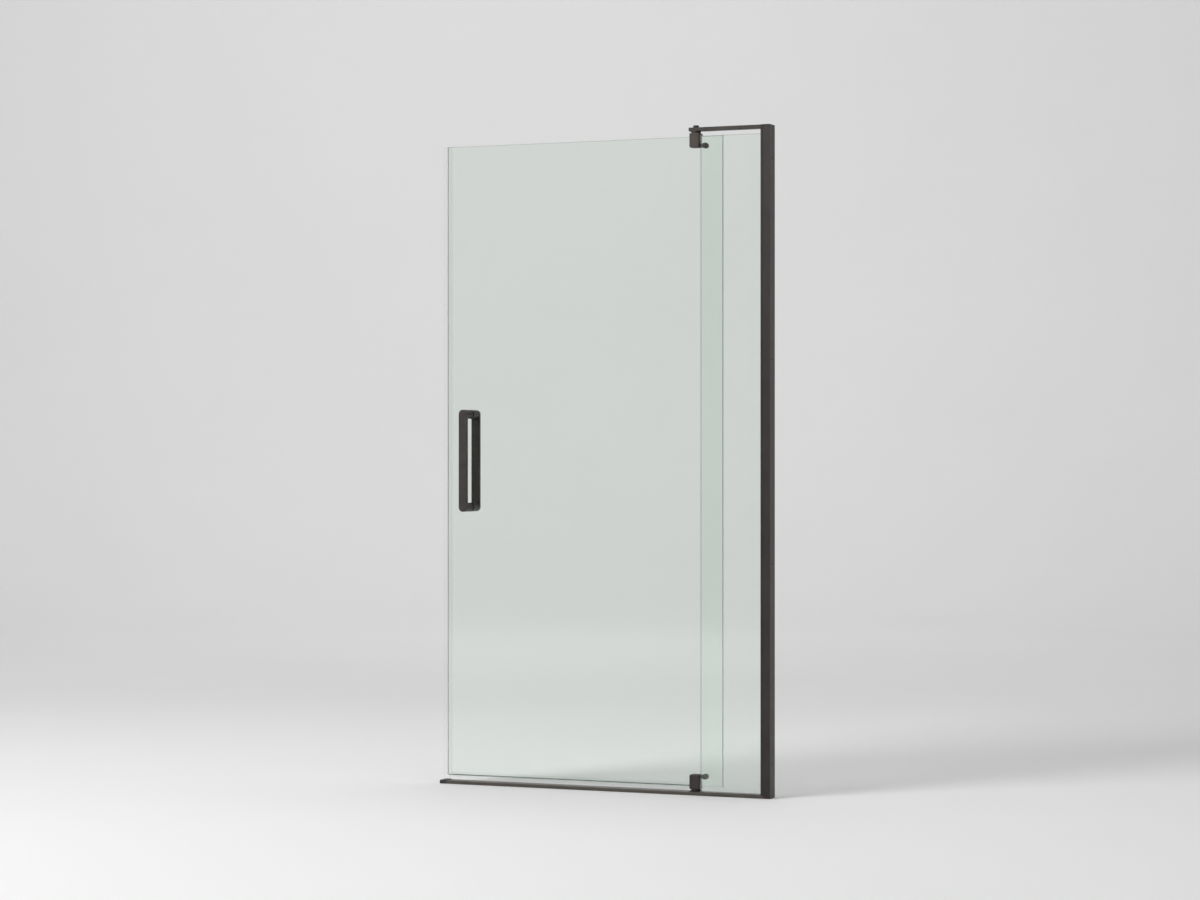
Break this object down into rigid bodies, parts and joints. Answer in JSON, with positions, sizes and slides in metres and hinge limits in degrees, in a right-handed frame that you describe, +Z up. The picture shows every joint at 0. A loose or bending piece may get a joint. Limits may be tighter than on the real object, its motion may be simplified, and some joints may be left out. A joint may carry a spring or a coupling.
{
  "type": "pivot shower door",
  "caption": "Clear glass pivot shower door with a narrow fixed pane, dark bronze rail, wall profile, header arm and flat pull handles.",
  "frame": {"origin": "On the bottom rail's flat underside, at the middle of the opening's width and in the middle plane of the closed door's glass.", "axes": "+X runs along the rail to the wall profile at the right, +Y points into the shower, +Z is up."},
  "size_m": [0.96, 0.095, 1.785],
  "materials": {
    "dark_bronze": "satin",
    "frame_bronze": "satin",
    "cap_black": "matte",
    "black_rubber": "matte",
    "screw_steel": "brushed",
    "bright_aluminium": "mill",
    "clear_glass": "polished",
    "clear_vinyl": "glossy",
    "black_nylon": "matte"
  },
  "bodies": {
    "frame": {"bottom_rail": "frame_bronze", "rail_end_cap": "cap_black", "wall_channel": "frame_bronze", "jamb_expander": "frame_bronze", "jamb_glazing_gaskets": "black_rubber", "rail_setting_gasket": "black_rubber", "jamb_side_screws": "screw_steel", "jamb_top_cap": "cap_black", "fixed_glass": "clear_glass", "header_arm": "dark_bronze", "arm_bracket": "bright_aluminium", "arm_set_screws": "screw_steel", "arm_bracket_screws": "screw_steel", "upper_pivot_pin": "dark_bronze", "upper_collar": "dark_bronze", "lower_base_plate": "dark_bronze", "base_plate_screws": "screw_steel", "lower_pivot_pin": "screw_steel", "lower_thrust_washer": "dark_bronze"},
    "door_leaf": {"door_glass": "clear_glass", "upper_clamp_outer": "dark_bronze", "upper_clamp_inner": "dark_bronze", "upper_clamp_gaskets": "clear_vinyl", "upper_clamp_bolt": "screw_steel", "upper_stud": "dark_bronze", "upper_stud_sleeve": "black_nylon", "upper_bushing": "black_nylon", "lower_clamp_outer": "dark_bronze", "lower_clamp_inner": "dark_bronze", "lower_clamp_gaskets": "clear_vinyl", "lower_clamp_bolt": "screw_steel", "lower_stud": "dark_bronze", "lower_stud_sleeve": "black_nylon", "lower_bushing": "black_nylon", "handle_outer_bar": "dark_bronze", "handle_inner_bar": "dark_bronze", "handle_outer_posts": "dark_bronze", "handle_inner_posts": "dark_bronze", "handle_washers": "black_nylon", "handle_studs": "screw_steel", "handle_sleeves": "black_nylon", "handle_set_screws": "screw_steel", "strike_seal": "clear_vinyl", "bottom_sweep": "clear_vinyl"}
  },
  "joints": [
    {"name": "door_swing", "type": "hinge", "parent": "frame", "child": "door_leaf", "pos_m": [0.2639, 0, 0], "axis": [0, 0, 1], "range_deg": [0, 105]}
  ]
}
